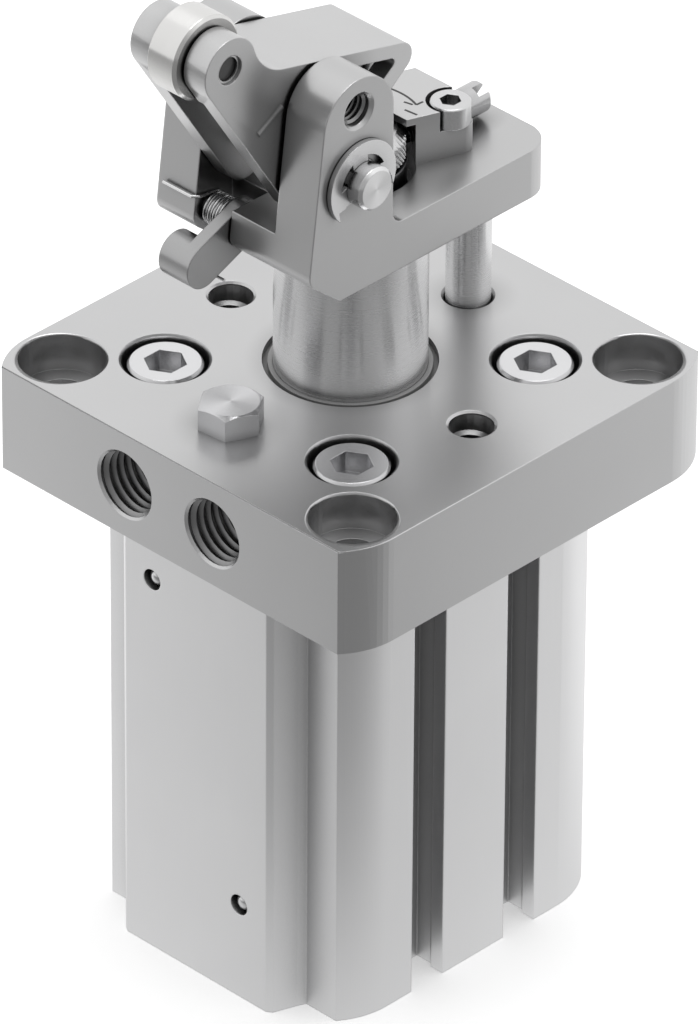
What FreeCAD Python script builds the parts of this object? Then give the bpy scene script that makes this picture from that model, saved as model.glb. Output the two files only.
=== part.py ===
"""Stopper cylinder with a toggle lever, modelled as the separate pieces it is assembled from.

Millimetres, +Z up. The origin is on the piston rod's axis, in the bottom face of the barrel.
The carriers that are stopped come from -Y and push the roller towards +Y.
The label plate and the two air ports face -Y. The sensor grooves are on the +X and -X sides.
The piston rod is drawn extended, with the toggle lever leaning towards the carriers.
"""
import FreeCAD, Part
import math
import os

from FreeCAD import Vector as V

X = V(1, 0, 0)
Y = V(0, 1, 0)
Z = V(0, 0, 1)

# Stroke and stack of heights
stroke = 20.0
barrel_length = 67.0
flange_thickness = 15.5
park_gap = 2.1
head_base_thickness = 7.05

# Clearances between pieces that fit together
press_gap = 0.01
running_gap = 0.03
seal_gap = 0.05
seat_gap = 0.05
thread_gap = 0.05
side_gap = 0.3

# Barrel extrusion
barrel_half = 23.1
barrel_corner_drop = 2.4
barrel_corner_rise = 7.1
bore_radius = 16.0
sensor_groove_centre = 8.6
sensor_groove_mouth = 5.8
sensor_groove_inside = 6.9
sensor_groove_lip = 2.5
sensor_groove_wall = 1.9
guide_bore_radius = 3.5
plate_rise = 5.0
plate_flank = ((15.3, -1.0), (15.3, 0.0), (14.8, 1.2), (13.6, 4.5), (12.8, plate_rise))

# Flange
flange_half = 33.0
flange_corner_drop = 2.7
flange_corner_rise = 7.3
flange_edge_chamfer = 0.35
mount_hole_inset = 6.8
mount_hole_radius = 3.3
mount_counterbore_radius = 5.7
mount_counterbore_depth = 6.8
side_hole_offset = 21.7
side_hole_radius = 2.5
side_hole_rim_radius = 3.3
side_hole_depth = 12.0
spigot_length = 5.0
oring_section = 1.8

# Air ports and channels
port_offset = 7.9
port_core_radius = 4.3
port_rim_radius = 4.95
port_depth = 9.0
channel_radius = 1.5
channel_inset = 2.9
upper_ball_drop = 9.1
lower_ball_z = 14.6
ball_radius = 1.45
ball_recess = 0.25

# Screws: thread radius, head radius, head height, socket across flats
m6_thread = 3.0
m6_head_radius = 5.0
m6_head_height = 6.0
m6_socket = 5.0
flange_screw_inset = 6.3
flange_screw_length = 22.0
flange_screw_recess = 0.4
m3_thread = 1.5
m3_head_radius = 2.7
m3_head_height = 3.0
m3_socket = 2.5
m8_thread = 4.0
m8_head_radius = 6.5
m8_head_height = 5.5
m8_head_space = 0.5
m8_length = 14.0
m8_socket = 6.0
m5_thread = 2.5
hex_across_flats = 7.8
hex_head_height = 3.55
hex_head_chamfer = 0.45
hex_head_turn = -24.0
hex_screw_length = 8.0

# Piston rod and its guide
rod_radius = 10.0
rod_spigot_radius = 9.0
rod_spigot_length = 4.5
rod_bore_radius = 7.1
rod_floor = 6.2
rod_stub_radius = 6.0
rod_stub_length = 12.0
bush_wall = 2.0
bush_length = 12.0
wiper_pocket_radius = 11.4
wiper_height = 4.0
wiper_lip_radius = 10.65
wiper_shoulder_drop = 1.0
wiper_lip_drop = 0.2

# Guide rod beside the piston rod
guide_inset = 1.38
guide_radius = 3.0
guide_hole_radius = 3.2
guide_spigot_radius = 2.0
guide_bush_radius = 4.0
guide_bush_length = 11.0
guide_lobe_radius = 3.7
guide_lobe_height = 4.3
guide_rod_tail = 13.5

# Piston
piston_length = 20.0
piston_radius = 15.9
piston_seal_width = 3.0
piston_seal_depth = 3.0
magnet_width = 3.4
magnet_depth = 2.6
piston_edge = 3.0

# End cap
end_cap_thickness = 9.9
circlip_thickness = 1.2
circlip_groove_depth = 0.9
circlip_ring_width = 2.6
end_cap_setback = 1.2
end_cap_boss_radius = 11.2

# Fork head: heights are above its underside
head_half_width = 13.65
ear_gap_half = 7.0
ear_round_y = -12.7
ear_round_z = 25.15
ear_round_radius = 6.2
front_foot_y = -21.45
front_foot_z = 4.6
front_chamfer_y = -15.8
front_round_radius = 2.2
beam_top = 9.3
ear_root_radius = 2.0
base_end_y = 23.3
base_corner_radius = 4.5
base_slant_start_y = 8.0
head_bore_radius = 8.1
ear_thread_z = 26.7
ear_thread_radius = 2.2
ear_thread_rim = 2.65

# Pivot pin and clips
pivot_y = -12.6
pivot_z = 16.5
pivot_radius = 3.0
pivot_end = 16.8
pivot_groove_radius = 2.5
clip_thickness = 0.7
clip_radius = 5.8
clip_inner_radius = 3.9
clip_opening_angle = -80.0

# Toggle lever, in the same heights
lever_half_width = 6.6
web_thickness = 2.8
boss_thickness = 3.75
roller_y = -28.4
roller_z = 36.4
boss_radius = 4.4
lever_top_y = 2.4
lever_top_z = 27.2
lever_top_slope = 14.15
lever_top_front_y = -19.0
lever_tail_radius = 2.1
lever_foot_y = -15.2
lever_foot_z = 13.7
lever_foot_radius = 3.4
lever_pivot_boss_radius = 5.0
lever_plate_thickness = 1.9
window_wall = 2.4
window_front_y = -8.6
window_corner_radius = 0.7
rib_from = (-23.5, 24.9)
rib_to = (-19.3, 27.3)
rib_width = 0.8
rib_height = 0.2
lever_cross_hole = (-19.8, 20.9)
lever_cross_hole_radius = 1.7
lever_swing = 17.0

# Roller
roller_radius = 5.8
roller_chamfer = 0.4
roller_pin_radius = 2.0
roller_pin_recess = 0.8
roller_bush_wall = 0.8
roller_pocket_gap = 0.6
ring_wire = 0.35

# Shock absorber in the hollow rod
absorber_radius = 7.0
absorber_collar_z = 8.3
absorber_neck_radius = 3.9
absorber_neck_top = 15.6
absorber_length = 44.0
plunger_radius = 2.1
plunger_button_radius = 2.8
plunger_button_height = 2.6
plunger_tail = 6.0
ring_bottom_z = 8.7
ring_radius = 6.9
ring_knurl_top_z = 11.9
ring_top_z = 12.8
ring_top_radius = 5.7
knurl_count = 40
knurl_depth = 0.25

# Adjuster block on the fork head
block_front_y = 5.5
block_plate_front_y = 4.73
block_plate_front_x = 5.05
block_width = 11.8
block_side_slope = 0.375
block_rear_y = 14.6
block_rear_radius = 1.5
block_plate_z = 13.05
block_top_z = 14.05
block_screw_x = 5.6
block_screw_y = 12.15
block_notch_radius = 3.2
block_notch_z = 11.1

# Slotted spindle behind the block
spindle_x = 2.6
spindle_z = 9.7
spindle_radius = 2.15
spindle_end_y = 21.4
spindle_chamfer = 0.9
spindle_stem_radius = 1.0
spindle_slot_width = 1.5
spindle_slot_turn = 30.0
spindle_slot_depth = 2.6

# Latch pawl with its pin and spring
pawl_pin_y = -18.1
pawl_pin_z = 6.1
pawl_pin_radius = 1.5
pawl_pin_depth = 3.6
pawl_nose_y = -25.6
pawl_nose_z = 3.05
pawl_nose_radius = 3.1
pawl_eye_radius = 3.1
pawl_right = -0.75
pawl_nose_width = 5.15
pawl_arm_thickness = 1.9
pawl_slot_right = -0.55
pawl_slot_rear_y = -14.4
spring_wire = 0.5
spring_turns = 6.5
spring_steps = 14
spring_sides = 6
spring_radius = 2.1
spring_leg_end_x = -12.4
spring_leg_lean = 0.11
spring_leg_gap = 0.15
spring_hook_y = -22.6

# Places worked out from the barrel's and the flange's size
plate_face = barrel_half + plate_rise
channel_y = plate_face - channel_inset
guide_y = barrel_half - guide_inset
flange_screw_pitch_half = barrel_half - flange_screw_inset
mount_hole_pitch_half = flange_half - mount_hole_inset

# Heights worked out from the stack
upper_ball_z = barrel_length - upper_ball_drop
flange_top = barrel_length + flange_thickness
flange_mid = barrel_length + flange_thickness / 2
head_z = flange_top + stroke + park_gap
spigot_bottom = barrel_length - spigot_length
piston_top = upper_ball_z - channel_radius - 0.5
piston_bottom = piston_top - piston_length
wiper_bottom = flange_top - wiper_height


def cyl(radius, height, at, axis=Z):
    """Solid cylinder that starts at a point and runs along an axis."""
    return Part.makeCylinder(radius, height, V(*at), axis)


def cone(radius1, radius2, height, at, axis=Z):
    """Solid cone frustum that starts at a point and runs along an axis."""
    return Part.makeCone(radius1, radius2, height, V(*at), axis)


def block(low, high):
    """Box between two opposite corners."""
    size = [b - a for a, b in zip(low, high)]
    return Part.makeBox(size[0], size[1], size[2], V(*low))


def tube(outer, inner, height, at, axis=Z):
    """Ring or bush with a plain bore."""
    return cyl(outer, height, at, axis).cut(cyl(inner, height, at, axis))


def prism(points, depth, place):
    """Extrude a closed polygon; place turns each (a, b) pair into a point."""
    corners = [place(a, b) for a, b in points]
    wire = Part.makePolygon(corners + corners[:1])
    return Part.Face(wire).extrude(depth)


def plan(height):
    """Place (x, y) pairs in a level plane."""
    return lambda x, y: V(x, y, height)


def side(x):
    """Place (y, z) pairs in an upright plane across X."""
    return lambda y, z: V(x, y, z)


def hex_prism(across_flats, height, at):
    """Upright hexagonal bar with two corners along Y."""
    corner = across_flats / math.sqrt(3)
    turns = [math.radians(30 + 60 * i) for i in range(6)]
    points = [(at[0] + corner * math.cos(t), at[1] + corner * math.sin(t)) for t in turns]
    return prism(points, Z * height, plan(at[2]))


def mirror_x(shape):
    """Copy a shape to the other side of the YZ plane."""
    return shape.mirror(V(0, 0, 0), X)


def rotate_about(shape, at, axis, angle):
    """Turn a shape about an axis through a point."""
    shape.rotate(V(*at), axis, angle)
    return shape


def socket_screw(thread, length, head_radius, head_height, socket, at):
    """Cap screw, pointing down, with its head's seat at the given point."""
    x, y, z = at
    chamfer = head_height * 0.06
    head = cyl(head_radius, head_height - chamfer, (x, y, z))
    rim = cone(head_radius, head_radius - chamfer, chamfer, (x, y, z + head_height - chamfer))
    shank = cyl(thread - thread_gap, length, (x, y, z - length))
    drive_depth = head_height * 0.5
    drive = hex_prism(socket, drive_depth, (x, y, z + head_height - drive_depth))
    return head.fuse(rim).fuse(shank).cut(drive).removeSplitter()


def rounded_square(half, drop, rise, low, height):
    """Square bar whose corner arcs leave the X sides smoothly and meet the Y sides at an edge."""
    corner_half = half - drop
    arc_start = half - rise
    radius = (drop * drop + rise * rise) / (2 * drop)
    centre_x = half - radius
    angle = math.atan2(rise, corner_half - centre_x) / 2
    mid = (centre_x + radius * math.cos(angle), arc_start + radius * math.sin(angle))
    edges = []
    for sx, sy in ((1, 1), (-1, 1), (-1, -1), (1, -1)):
        start = V(sx * half, sy * arc_start, low)
        end = V(sx * corner_half, sy * half, low)
        edges.append(Part.Arc(start, V(sx * mid[0], sy * mid[1], low), end).toShape())
    for s in (1, -1):
        ends = V(corner_half, s * half, low), V(-corner_half, s * half, low)
        edges.append(Part.LineSegment(*ends).toShape())
        ends = V(s * half, arc_start, low), V(s * half, -arc_start, low)
        edges.append(Part.LineSegment(*ends).toShape())
    wire = Part.Wire(Part.__sortEdges__(edges))
    return Part.Face(wire).extrude(Z * height)


def tangent_points(c1, r1, c2, r2):
    """Ends of the line that touches two circles, on the left of the way from the first."""
    dy, dz = c2[0] - c1[0], c2[1] - c1[1]
    length = math.hypot(dy, dz)
    turn = math.atan2(dz, dy) + math.acos((r1 - r2) / length)
    out = (math.cos(turn), math.sin(turn))
    return (c1[0] + r1 * out[0], c1[1] + r1 * out[1]), (c2[0] + r2 * out[0], c2[1] + r2 * out[1])


def arc_mid(centre, radius, a, b, clockwise):
    """Point halfway along the arc from a to b."""
    t1 = math.atan2(a[1] - centre[1], a[0] - centre[0])
    t2 = math.atan2(b[1] - centre[1], b[0] - centre[0])
    if clockwise:
        while t2 > t1:
            t2 -= 2 * math.pi
    else:
        while t2 < t1:
            t2 += 2 * math.pi
    t = (t1 + t2) / 2
    return centre[0] + radius * math.cos(t), centre[1] + radius * math.sin(t)


def side_face(pieces, x):
    """Face in the YZ plane from a list of lines and arcs, each given by its points."""
    edges = []
    for piece in pieces:
        points = [V(x, a, b) for a, b in piece]
        if len(points) == 2:
            edges.append(Part.LineSegment(points[0], points[1]).toShape())
        else:
            edges.append(Part.Arc(points[0], points[1], points[2]).toShape())
    return Part.Face(Part.Wire(edges))


# Barrel

def make_barrel():
    """Aluminium extrusion with sensor grooves, a raised plate in front and the guide rod's bore behind."""
    body = rounded_square(barrel_half, barrel_corner_drop, barrel_corner_rise, 0, barrel_length)
    flank = [(x, barrel_half + rise) for x, rise in plate_flank]
    outline = flank + [(-x, y) for x, y in reversed(flank)]
    for sy in (1, -1):
        body = body.fuse(prism([(x, sy * y) for x, y in outline], Z * barrel_length, plan(0)))
    body = body.removeSplitter()
    lip_end = barrel_half - sensor_groove_lip
    floor = bore_radius + sensor_groove_wall
    mouth = sensor_groove_mouth / 2
    inside = sensor_groove_inside / 2
    outside = barrel_half + 1
    half_slot = [(outside, mouth), (lip_end + 0.4, mouth), (lip_end - 0.2, inside), (floor, inside)]
    slot = [(x, -y) for x, y in half_slot] + half_slot[::-1]
    for centre in (sensor_groove_centre, -sensor_groove_centre):
        groove = prism([(x, y + centre) for x, y in slot], Z * barrel_length, plan(0))
        body = body.cut(groove).cut(mirror_x(groove))
    body = body.cut(cyl(guide_bore_radius, barrel_length, (0, guide_y, 0)))
    body = body.cut(cyl(bore_radius, barrel_length, (0, 0, 0)))
    groove_z = end_cap_setback - seat_gap
    groove_height = circlip_thickness + 2 * seat_gap
    body = body.cut(cyl(bore_radius + circlip_groove_depth, groove_height, (0, 0, groove_z)))
    depth = flange_screw_length + 3
    for sx in (1, -1):
        for sy in (1, -1):
            at = (sx * flange_screw_pitch_half, sy * flange_screw_pitch_half, barrel_length - depth)
            body = body.cut(cyl(m6_thread, depth, at))
    for x, ball_z in ((-port_offset, upper_ball_z), (port_offset, lower_ball_z)):
        body = body.cut(cyl(channel_radius, barrel_length - ball_z, (x, -channel_y, ball_z)))
        body = body.cut(cyl(channel_radius, plate_face - bore_radius / 2, (x, -plate_face, ball_z), Y))
    return body


def make_sealing_balls():
    """Steel balls pressed into the drilled mouths of the two cross channels."""
    balls = []
    for x, z in ((-port_offset, upper_ball_z), (port_offset, lower_ball_z)):
        balls.append(Part.makeSphere(ball_radius, V(x, -plate_face + ball_radius + ball_recess, z)))
    return Part.makeCompound(balls)


# Flange cap

def make_flange():
    """Machined flange with counterbored mounting holes, air ports and a spigot into the barrel."""
    body = rounded_square(flange_half, flange_corner_drop, flange_corner_rise,
                          barrel_length, flange_thickness)
    top = [e for e in body.Edges if min(v.Z for v in e.Vertexes) > flange_top - 0.01]
    body = body.makeChamfer(flange_edge_chamfer, top)
    body = body.fuse(cyl(bore_radius - seat_gap, spigot_length, (0, 0, spigot_bottom)))
    ring = tube(bore_radius, bore_radius - oring_section, oring_section * 1.3, (0, 0, spigot_bottom + 1.2))
    body = body.cut(ring)
    body = body.cut(cyl(rod_radius + bush_wall, wiper_bottom - spigot_bottom, (0, 0, spigot_bottom)))
    body = body.cut(cyl(rod_radius + 0.4, flange_thickness, (0, 0, wiper_bottom - 1)))
    body = body.cut(cyl(wiper_pocket_radius, wiper_height, (0, 0, wiper_bottom)))
    for sx in (1, -1):
        for sy in (1, -1):
            x, y = sx * mount_hole_pitch_half, sy * mount_hole_pitch_half
            body = body.cut(cyl(mount_hole_radius, flange_thickness, (x, y, barrel_length)))
            seat = flange_top - mount_counterbore_depth
            body = body.cut(cyl(mount_counterbore_radius, mount_counterbore_depth, (x, y, seat)))
            body = body.cut(rim_cut(mount_counterbore_radius, x, y))
            x, y = sx * flange_screw_pitch_half, sy * flange_screw_pitch_half
            seat = flange_top - flange_screw_recess - m6_head_height
            body = body.cut(cyl(m6_thread + 0.3, flange_thickness, (x, y, barrel_length)))
            body = body.cut(cyl(mount_counterbore_radius, flange_top - seat, (x, y, seat)))
            body = body.cut(rim_cut(mount_counterbore_radius, x, y))
        x = sx * side_hole_offset
        body = body.cut(cyl(side_hole_radius, side_hole_depth, (x, 0, flange_top - side_hole_depth)))
        rim = side_hole_rim_radius - side_hole_radius
        body = body.cut(cone(side_hole_radius, side_hole_rim_radius, rim, (x, 0, flange_top - rim)))
        x = sx * port_offset
        chamfer = port_rim_radius - port_core_radius
        body = body.cut(cyl(port_core_radius, port_depth, (x, -flange_half, flange_mid), Y))
        body = body.cut(cone(port_rim_radius, port_core_radius, chamfer, (x, -flange_half, flange_mid), Y))
        body = body.cut(cyl(channel_radius, flange_thickness / 2, (x, -channel_y, barrel_length)))
    body = body.cut(cyl(guide_bush_radius, guide_bush_length, (0, guide_y, barrel_length + 1)))
    body = body.cut(cyl(guide_hole_radius, flange_thickness, (0, guide_y, barrel_length)))
    body = body.cut(rim_cut(guide_hole_radius, 0, guide_y))
    hole_depth = hex_screw_length + 2
    return body.cut(cyl(m5_thread, hole_depth, (0, -side_hole_offset, flange_top - hole_depth)))


def rim_cut(radius, x, y):
    """Small chamfer round a hole in the flange's top face."""
    edge = flange_edge_chamfer
    return cone(radius, radius + edge, edge, (x, y, flange_top - edge))


def make_spigot_oring():
    """Seal between the flange's spigot and the barrel."""
    outer = bore_radius - seat_gap
    inner = bore_radius - oring_section + seat_gap
    return tube(outer, inner, oring_section, (0, 0, spigot_bottom + 1.2 + oring_section * 0.15))


def make_flange_screws():
    """Four cap screws that hold the flange to the barrel."""
    seat = flange_top - flange_screw_recess - m6_head_height
    screws = []
    for sx in (1, -1):
        for sy in (1, -1):
            at = (sx * flange_screw_pitch_half, sy * flange_screw_pitch_half, seat)
            length = seat - barrel_length + flange_screw_length
            screws.append(socket_screw(m6_thread, length, m6_head_radius, m6_head_height, m6_socket, at))
    return Part.makeCompound(screws)


def make_hex_screw():
    """Hexagon head screw that closes the hole at the front of the flange."""
    at = (0, -side_hole_offset, flange_top)
    corner = hex_across_flats / math.sqrt(3)
    straight = hex_head_height - hex_head_chamfer
    narrow = corner - hex_head_chamfer / math.tan(math.radians(30))
    chamfer_at = (at[0], at[1], at[2] + straight)
    turned = cyl(corner, straight, at).fuse(cone(corner, narrow, hex_head_chamfer, chamfer_at))
    head = hex_prism(hex_across_flats, hex_head_height, at).common(turned.removeSplitter())
    head = rotate_about(head, at, Z, hex_head_turn)
    shank_at = (0, -side_hole_offset, flange_top - hex_screw_length)
    shank = cyl(m5_thread - thread_gap, hex_screw_length, shank_at)
    return head.fuse(shank).removeSplitter()


def make_rod_wiper():
    """Wiper that scrapes the rod, pressed into the top of the flange."""
    at = (0, 0, wiper_bottom)
    outer = cyl(wiper_pocket_radius - press_gap, wiper_height - wiper_shoulder_drop, at)
    lip = cyl(wiper_lip_radius, wiper_height - wiper_lip_drop, at)
    return outer.fuse(lip).cut(cyl(rod_radius + running_gap, wiper_height, at)).removeSplitter()


def make_rod_bush():
    """Plain bearing bush for the piston rod."""
    z = wiper_bottom - 1.0 - bush_length
    return tube(rod_radius + bush_wall - press_gap, rod_radius + running_gap, bush_length, (0, 0, z))


def make_guide_bush():
    """Plain bearing bush for the guide rod."""
    at = (0, guide_y, barrel_length + 1)
    return tube(guide_bush_radius - press_gap, guide_radius + running_gap, guide_bush_length, at)


# End cap at the bottom of the barrel

def make_end_cap():
    """Turned disc that closes the barrel; its boss inside the retaining ring ends level with the barrel."""
    z = end_cap_setback + circlip_thickness
    radius = bore_radius - seat_gap
    body = cyl(radius, end_cap_thickness, (0, 0, z))
    groove_z = z + end_cap_thickness * 0.45
    body = body.cut(tube(bore_radius, bore_radius - oring_section, oring_section * 1.3, (0, 0, groove_z)))
    return body.fuse(cyl(end_cap_boss_radius, z, (0, 0, 0))).removeSplitter()


def make_end_cap_oring():
    """Seal in the groove of the end cap."""
    z = end_cap_setback + circlip_thickness + end_cap_thickness * 0.45 + oring_section * 0.15
    inner = bore_radius - oring_section + seat_gap
    return tube(bore_radius - seat_gap, inner, oring_section, (0, 0, z))


def make_end_cap_circlip():
    """Internal retaining ring with two eyelets."""
    outer = bore_radius + circlip_groove_depth - seat_gap
    ring = tube(outer, outer - circlip_ring_width, circlip_thickness, (0, 0, end_cap_setback))
    gap_half = 4.0
    ring = ring.cut(block((-gap_half, 0, 0),
                          (gap_half, bore_radius + 2, end_cap_setback + circlip_thickness)))
    eye_y = math.sqrt((outer - circlip_ring_width) ** 2 - gap_half ** 2) - 0.8
    for sx in (1, -1):
        ring = ring.fuse(cyl(2.2, circlip_thickness, (sx * (gap_half + 1.6), eye_y, end_cap_setback)))
    for sx in (1, -1):
        ring = ring.cut(cyl(1.0, circlip_thickness, (sx * (gap_half + 1.6), eye_y, end_cap_setback)))
    return ring.removeSplitter()


# Piston

def piston_grooves():
    """Groove of the lower seal, of the magnet and of the upper seal: height, width and depth."""
    middle = (piston_bottom + piston_top - magnet_width) / 2
    return ((piston_bottom + piston_edge, piston_seal_width, piston_seal_depth),
            (middle, magnet_width, magnet_depth),
            (piston_top - piston_edge - piston_seal_width, piston_seal_width, piston_seal_depth))


def make_piston():
    """Turned piston with two seal grooves and one groove for the magnet."""
    body = cyl(piston_radius, piston_length, (0, 0, piston_bottom))
    for z, width, depth in piston_grooves():
        body = body.cut(tube(bore_radius, piston_radius - depth, width, (0, 0, z)))
    stub_z = piston_top - rod_stub_length
    body = body.cut(cyl(rod_stub_radius + seat_gap, rod_stub_length, (0, 0, stub_z)))
    body = body.cut(cyl(m8_thread + 0.2, piston_length, (0, 0, piston_bottom)))
    return body.cut(cyl(m8_head_radius + m8_head_space, m8_head_height, (0, 0, piston_bottom)))


def groove_ring(index, reach):
    """Ring that fills one of the piston's grooves out to a radius."""
    z, width, depth = piston_grooves()[index]
    inner = piston_radius - depth + seat_gap
    return tube(reach, inner, width - 2 * seat_gap, (0, 0, z + seat_gap))


def make_piston_seals():
    """Two lip seals that slide on the barrel's bore."""
    return Part.makeCompound([groove_ring(0, bore_radius - seal_gap), groove_ring(2, bore_radius - seal_gap)])


def make_piston_screw():
    """Screw that holds the piston on the rod."""
    seat = piston_bottom + m8_head_height
    head_height = m8_head_height - seat_gap
    screw = socket_screw(m8_thread, m8_length, m8_head_radius, head_height, m8_socket, (0, 0, 0))
    screw.rotate(V(0, 0, 0), X, 180)
    screw.translate(V(0, 0, seat))
    return screw


def make_piston_rod():
    """Hollow ground rod: the piston's stub below, a spigot for the fork head above."""
    body = cyl(rod_radius, head_z - piston_top, (0, 0, piston_top))
    body = body.fuse(cyl(rod_stub_radius, rod_stub_length, (0, 0, piston_top - rod_stub_length)))
    body = body.fuse(cyl(rod_spigot_radius, rod_spigot_length, (0, 0, head_z))).removeSplitter()
    top = head_z + rod_spigot_length
    bore_floor = piston_top + rod_floor
    body = body.cut(cyl(rod_bore_radius, top - bore_floor, (0, 0, bore_floor)))
    screw_hole = rod_stub_length + 2.0
    return body.cut(cyl(m8_thread, screw_hole, (0, 0, piston_top - rod_stub_length)))


def make_guide_rod():
    """Ground guide rod with a spigot pressed into the fork head."""
    bottom = flange_top - guide_rod_tail
    body = cyl(guide_radius, head_z - bottom, (0, guide_y, bottom))
    spigot = cyl(guide_spigot_radius, guide_lobe_height - side_gap, (0, guide_y, head_z))
    return body.fuse(spigot).removeSplitter()


# Fork head

def ear_face(x):
    """Outline of one ear, from the chamfered foot over the round top and down its upright back."""
    centre = (ear_round_y, ear_round_z)
    foot = (front_foot_y, front_foot_z)
    distance = math.hypot(centre[0] - foot[0], centre[1] - foot[1])
    aim = math.atan2(centre[1] - foot[1], centre[0] - foot[0])
    lean = aim + math.asin(ear_round_radius / distance)
    run = math.sqrt(distance ** 2 - ear_round_radius ** 2)
    touch = (foot[0] + run * math.cos(lean), foot[1] + run * math.sin(lean))
    back = (ear_round_y + ear_round_radius, ear_round_z)
    low_front = (front_chamfer_y, 0)
    low_back = (back[0], 0)
    over_top = [touch, arc_mid(centre, ear_round_radius, touch, back, True), back]
    return side_face([[low_front, foot], [foot, touch], over_top, [back, low_back], [low_back, low_front]], x)


def make_fork_head():
    """Fork that carries the lever: two ears, a front beam and a base plate with one slanted corner."""
    ear_back = ear_round_y + ear_round_radius
    width = head_half_width - ear_gap_half
    ear = ear_face(ear_gap_half).extrude(X * width)
    outline = ear_face(-head_half_width).extrude(X * 2 * head_half_width)
    beam = outline.common(block((-head_half_width, 2 * front_foot_y, 0), (head_half_width, 0, beam_top)))
    base = base_plate()
    body = ear.fuse([mirror_x(ear), beam, base]).removeSplitter()
    foot = [e for e in body.Edges if is_foot_edge(e)]
    body = body.makeFillet(front_round_radius, foot)
    for sx in (1, -1):
        root = block((min(sx * ear_gap_half, sx * head_half_width), ear_back, head_base_thickness),
                     (max(sx * ear_gap_half, sx * head_half_width), ear_back + ear_root_radius,
                      head_base_thickness + ear_root_radius))
        at = (-head_half_width, ear_back + ear_root_radius, head_base_thickness + ear_root_radius)
        body = body.fuse(root.cut(cyl(ear_root_radius, 2 * head_half_width, at, X)))
    body = body.removeSplitter()
    body = body.cut(cyl(head_bore_radius, beam_top, (0, 0, rod_spigot_length)))
    body = body.cut(cyl(rod_spigot_radius + press_gap, rod_spigot_length, (0, 0, 0)))
    body = body.cut(cyl(guide_spigot_radius + press_gap, guide_lobe_height, (0, guide_y, 0)))
    slot_low = (-ear_gap_half, 2 * front_foot_y, 0)
    body = body.cut(block(slot_low, (pawl_slot_right, pawl_slot_rear_y, beam_top)))
    full = 2 * head_half_width
    body = body.cut(cyl(pivot_radius + press_gap, full, (-head_half_width, pivot_y, pivot_z), X))
    body = body.cut(cyl(ear_thread_radius, full, (-head_half_width, ear_round_y, ear_thread_z), X))
    rim = ear_thread_rim - ear_thread_radius
    counter = cone(ear_thread_radius, ear_thread_rim, rim,
                   (head_half_width - rim, ear_round_y, ear_thread_z), X)
    body = body.cut(counter).cut(mirror_x(counter))
    pin_length = head_half_width + pawl_pin_depth
    pin_start = (-head_half_width, pawl_pin_y, pawl_pin_z)
    body = body.cut(cyl(pawl_pin_radius + press_gap, pin_length, pin_start, X))
    body = body.cut(cyl(m3_thread, head_base_thickness, (block_screw_x, block_screw_y, 0)))
    body.translate(Z * head_z)
    return body


def is_foot_edge(edge):
    """True for the two edges across the front where the chamfer meets the leaning front faces."""
    ends = [v.Point for v in edge.Vertexes]
    near = [abs(p.y - front_foot_y) + abs(p.z - front_foot_z) < 0.01 for p in ends]
    return len(ends) == 2 and all(near)


def base_plate():
    """Base plate of the fork head: one round corner, one slanted corner and a lobe round the guide rod."""
    front = front_chamfer_y + 6
    points = [(-head_half_width, front), (head_half_width, front), (head_half_width, base_end_y),
              (-guide_spigot_radius, base_end_y), (-head_half_width, base_slant_start_y)]
    plate = prism(points, Z * head_base_thickness, plan(0))
    radius = base_corner_radius
    centre = (head_half_width - radius, base_end_y - radius, 0)
    corner = block(centre, (head_half_width, base_end_y, head_base_thickness))
    plate = plate.cut(corner.cut(cyl(radius, head_base_thickness, centre)))
    return plate.fuse(cyl(guide_lobe_radius, guide_lobe_height, (0, guide_y, 0))).removeSplitter()


def make_pivot_pin():
    """Ground pin that the lever turns on, with a groove for a clip at each end."""
    at = (-pivot_end, pivot_y, head_z + pivot_z)
    chamfer = 0.4
    body = cyl(pivot_radius, 2 * pivot_end - 2 * chamfer, (-pivot_end + chamfer, at[1], at[2]), X)
    for sx in (1, -1):
        end = cone(pivot_radius, pivot_radius - chamfer, chamfer, (pivot_end - chamfer, at[1], at[2]), X)
        body = body.fuse(end if sx > 0 else mirror_x(end))
    body = body.removeSplitter()
    groove = tube(pivot_radius + 1, pivot_groove_radius, clip_thickness + 2 * seat_gap,
                  (head_half_width + seat_gap, at[1], at[2]), X)
    return body.cut(groove).cut(mirror_x(groove))


def make_pivot_clips():
    """Retaining clips with three teeth that snap into the pin's grooves."""
    x = head_half_width + 2 * seat_gap
    centre = (x, pivot_y, head_z + pivot_z)
    clip = tube(clip_radius, clip_inner_radius, clip_thickness, centre, X)
    reach = pivot_groove_radius + press_gap
    for turn in (0.0, 97.0, -97.0):
        tooth = block((x, -1.3, reach), (x + clip_thickness, 1.3, clip_inner_radius + 0.3))
        tooth.translate(V(0, pivot_y, head_z + pivot_z))
        clip = clip.fuse(rotate_about(tooth, centre, X, turn))
    clip = clip.cut(cyl(reach, clip_thickness, centre, X))
    mouth = block((x, -clip_radius * 0.82, -clip_radius - 1), (x + clip_thickness, clip_radius * 0.82, -1.9))
    mouth.translate(V(0, pivot_y, head_z + pivot_z))
    clip = clip.cut(mouth).removeSplitter()
    clip = rotate_about(clip, centre, X, clip_opening_angle + 90)
    return Part.makeCompound([clip, mirror_x(clip)])


# Toggle lever and roller

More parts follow.
